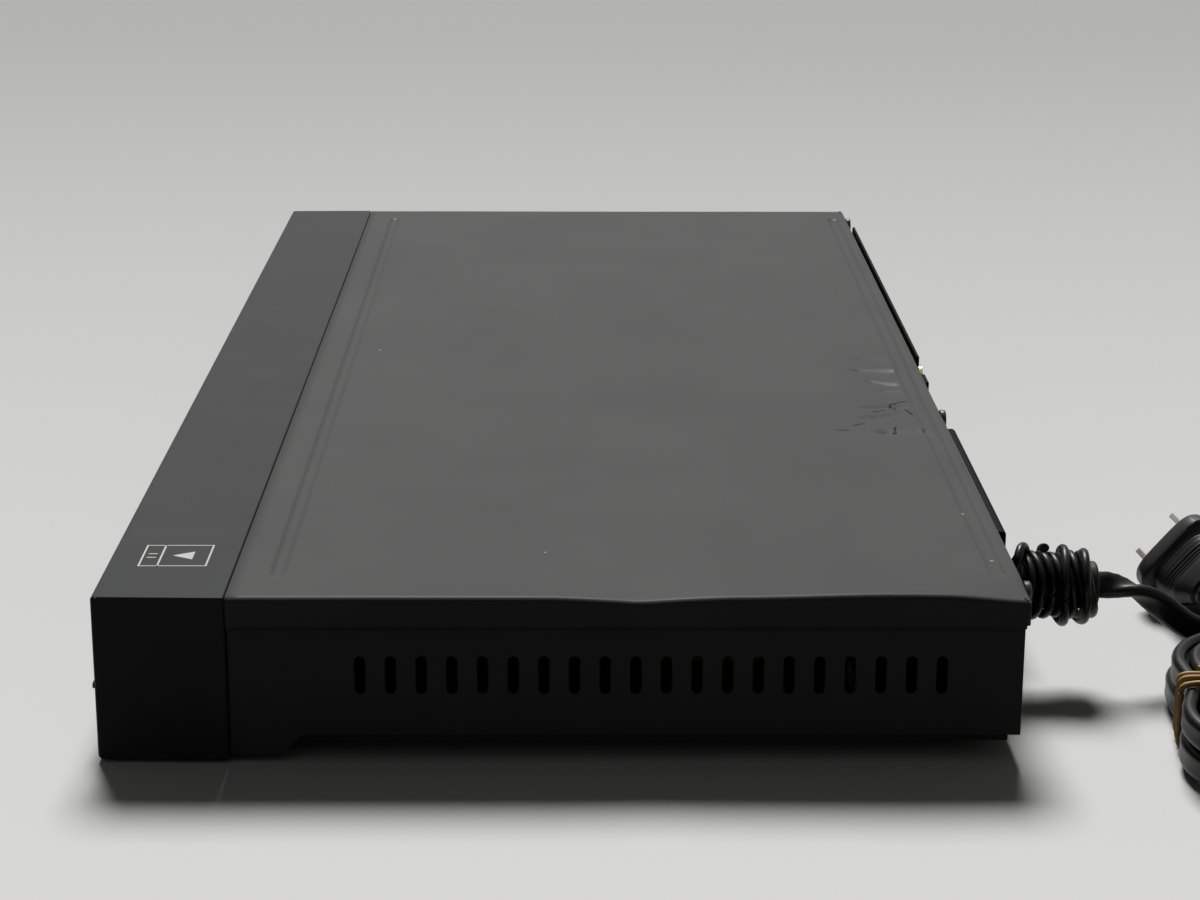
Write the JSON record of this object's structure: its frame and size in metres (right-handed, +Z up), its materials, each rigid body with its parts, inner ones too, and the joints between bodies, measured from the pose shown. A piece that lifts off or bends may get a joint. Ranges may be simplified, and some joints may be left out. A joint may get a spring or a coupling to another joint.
{
  "type": "dvd player",
  "caption": "Slim tray-loading disc player: black steel case with side slots, moulded front, loading tray and drive, rear sockets, flat mains lead in a banded hank.",
  "frame": {"origin": "on the table under the middle of the player's own box, without the mains lead", "axes": "+X to the right seen from the front, -Y out of the front face, +Z up"},
  "size_m": [0.4621, 0.2943, 0.039],
  "materials": {
    "fascia_plastic": "satin moulded plastic",
    "key_plastic": "satin moulded plastic",
    "window_smoke": "smoked and polished",
    "lens_red": "dark translucent red",
    "circuit_board": "green solder mask",
    "switch_plastic": "moulded plastic",
    "display_glass": "clear glass",
    "cover_paint": "satin black paint, dented and scratched",
    "pan_paint": "satin black paint",
    "screw_steel": "dark plated",
    "foot_rubber": "soft rubber",
    "housing_plastic": "moulded plastic",
    "contact_metal": "bright plated",
    "insert_plastic": "coloured insulators",
    "coax_metal": "plated",
    "relief_rubber": "moulded",
    "wire_jacket": "smooth black",
    "cord_jacket": "satin black jacket",
    "band_rubber": "natural rubber",
    "plug_plastic": "moulded, satin",
    "blade_metal": "nickel plated",
    "loader_plastic": "moulded plastic",
    "tray_plastic": "fine-textured plastic",
    "gear_plastic": "acetal",
    "belt_rubber": "soft rubber",
    "motor_steel": "plated can",
    "traverse_steel": "zinc-plated sheet",
    "rod_steel": "ground and polished",
    "turntable_plastic": "moulded plastic",
    "sled_metal": "die-cast",
    "lens_glass": "coated lens",
    "chip_plastic": "moulded packages",
    "winding_tape": "taped winding on ferrite",
    "can_sleeve": "sleeved cans",
    "sink_metal": "extruded",
    "fuse_glass": "clear",
    "cable_jacket": "flat cable"
  },
  "bodies": {
    "case": {"front_fascia": "fascia_plastic", "display_window": "window_smoke", "remote_lens": "lens_red", "front_boards": "circuit_board", "tact_switches": "switch_plastic", "display_module": "display_glass", "top_cover": "cover_paint", "cover_screws": "screw_steel", "bottom_pan": "pan_paint", "rear_panel": "pan_paint", "front_feet": "foot_rubber", "rear_feet": "foot_rubber", "av_jack_block": "housing_plastic", "video_jack_block": "housing_plastic", "rca_sleeves": "contact_metal", "rca_inserts": "insert_plastic", "coax_connector": "coax_metal", "strain_relief": "relief_rubber", "binding_wire": "wire_jacket", "mains_cord": "cord_jacket", "cord_hank": "cord_jacket", "rubber_band": "band_rubber", "mains_plug": "plug_plastic", "plug_blades": "blade_metal", "loader_base": "loader_plastic", "loading_motor": "motor_steel", "loading_belt": "belt_rubber", "clamp_bridge": "traverse_steel", "main_board": "circuit_board", "power_board": "circuit_board", "jack_board": "circuit_board", "board_screws": "screw_steel", "main_chips": "chip_plastic", "transformer": "winding_tape", "capacitors": "can_sleeve", "heat_sink": "sink_metal", "power_fuse": "fuse_glass", "flat_cables": "cable_jacket"},
    "tray": {"disc_tray": "tray_plastic", "tray_door": "fascia_plastic"},
    "drive_gear": {"drive_gear": "gear_plastic"},
    "pulley_gear": {"pulley_gear": "gear_plastic"},
    "motor_pulley": {"motor_pulley": "gear_plastic"},
    "cam_slider": {"cam_slider": "loader_plastic"},
    "traverse": {"traverse_frame": "traverse_steel", "guide_rods": "rod_steel", "spindle_motor": "motor_steel", "feed_motor": "motor_steel"},
    "turntable": {"turntable": "turntable_plastic"},
    "sled": {"pickup_sled": "sled_metal", "pickup_lens": "lens_glass"},
    "feed_gear": {"feed_gear": "gear_plastic"},
    "feed_pinion": {"feed_pinion": "gear_plastic"},
    "clamp_puck": {"clamp_puck": "turntable_plastic"},
    "open_close_button": {"open_close_button": "key_plastic"},
    "play_button": {"play_button": "key_plastic"},
    "stop_button": {"stop_button": "key_plastic"},
    "skip_forward_button": {"skip_forward_button": "key_plastic"},
    "skip_back_button": {"skip_back_button": "key_plastic"},
    "power_button": {"power_button": "key_plastic"}
  },
  "joints": [
    {"name": "tray_slide", "type": "slide", "parent": "case", "child": "tray", "axis": [0, -1, 0], "range_m": [0, 0.134]},
    {"name": "drive_gear_spin", "type": "hinge", "parent": "case", "child": "drive_gear", "pos_m": [-0.002, -0.08, 0.0136], "axis": [0, 0, 1], "range_deg": [-857.07, 4]},
    {"name": "pulley_gear_spin", "type": "hinge", "parent": "case", "child": "pulley_gear", "pos_m": [-0.02563, -0.08, 0.0136], "axis": [0, 0, 1], "range_deg": [-4, 2111.59]},
    {"name": "motor_pulley_spin", "type": "hinge", "parent": "case", "child": "motor_pulley", "pos_m": [-0.069, -0.08, 0.018], "axis": [0, 0, 1], "range_deg": [-4, 6437.68]},
    {"name": "traverse_lift", "type": "hinge", "parent": "case", "child": "traverse", "pos_m": [-0.045, 0.056, 0.013], "axis": [1, 0, 0], "range_deg": [0, 3.82]},
    {"name": "cam_slide", "type": "slide", "parent": "case", "child": "cam_slider", "axis": [-1, 0, 0], "range_m": [-0.0005, 0.0145]},
    {"name": "turntable_spin", "type": "hinge", "parent": "traverse", "child": "turntable", "pos_m": [-0.045, -0.028, 0.0256], "axis": [0, 0, 1], "continuous": true},
    {"name": "pickup_slide", "type": "slide", "parent": "traverse", "child": "sled", "axis": [0, 1, 0], "range_m": [0, 0.036]},
    {"name": "feed_gear_spin", "type": "hinge", "parent": "traverse", "child": "feed_gear", "pos_m": [-0.07988, 0.012, 0.0093], "axis": [0, 0, 1], "range_deg": [-4, 408.44]},
    {"name": "feed_pinion_spin", "type": "hinge", "parent": "traverse", "child": "feed_pinion", "pos_m": [-0.09019, -0.00168, 0.0093], "axis": [0, 0, 1], "range_deg": [-955.63, 4]},
    {"name": "clamp_spin", "type": "hinge", "parent": "case", "child": "clamp_puck", "pos_m": [-0.045, -0.028, 0.0312], "axis": [0, 0, 1], "continuous": true},
    {"name": "open_close_press", "type": "slide", "parent": "case", "child": "open_close_button", "axis": [0, 1, 0], "range_m": [0, 0.0008], "stiffness_N_per_m": 600},
    {"name": "play_press", "type": "slide", "parent": "case", "child": "play_button", "axis": [0, 1, 0], "range_m": [0, 0.0008], "stiffness_N_per_m": 600},
    {"name": "stop_press", "type": "slide", "parent": "case", "child": "stop_button", "axis": [0, 1, 0], "range_m": [0, 0.0008], "stiffness_N_per_m": 600},
    {"name": "skip_forward_press", "type": "slide", "parent": "case", "child": "skip_forward_button", "axis": [0, 1, 0], "range_m": [0, 0.0008], "stiffness_N_per_m": 600},
    {"name": "skip_back_press", "type": "slide", "parent": "case", "child": "skip_back_button", "axis": [0, 1, 0], "range_m": [0, 0.0008], "stiffness_N_per_m": 600},
    {"name": "power_press", "type": "slide", "parent": "case", "child": "power_button", "axis": [0, 1, 0], "range_m": [0, 0.0008], "stiffness_N_per_m": 600}
  ],
  "couplings": [
    {"joint": "drive_gear_spin", "follows": "tray_slide", "rad_per_m": -111.11},
    {"joint": "pulley_gear_spin", "follows": "tray_slide", "rad_per_m": 274.51},
    {"joint": "motor_pulley_spin", "follows": "tray_slide", "rad_per_m": 837.98},
    {"joint": "cam_slide", "follows": "traverse_lift", "m_per_rad": 0.20984},
    {"joint": "feed_gear_spin", "follows": "pickup_slide", "rad_per_m": 196.08},
    {"joint": "feed_pinion_spin", "follows": "pickup_slide", "rad_per_m": -461.36}
  ]
}
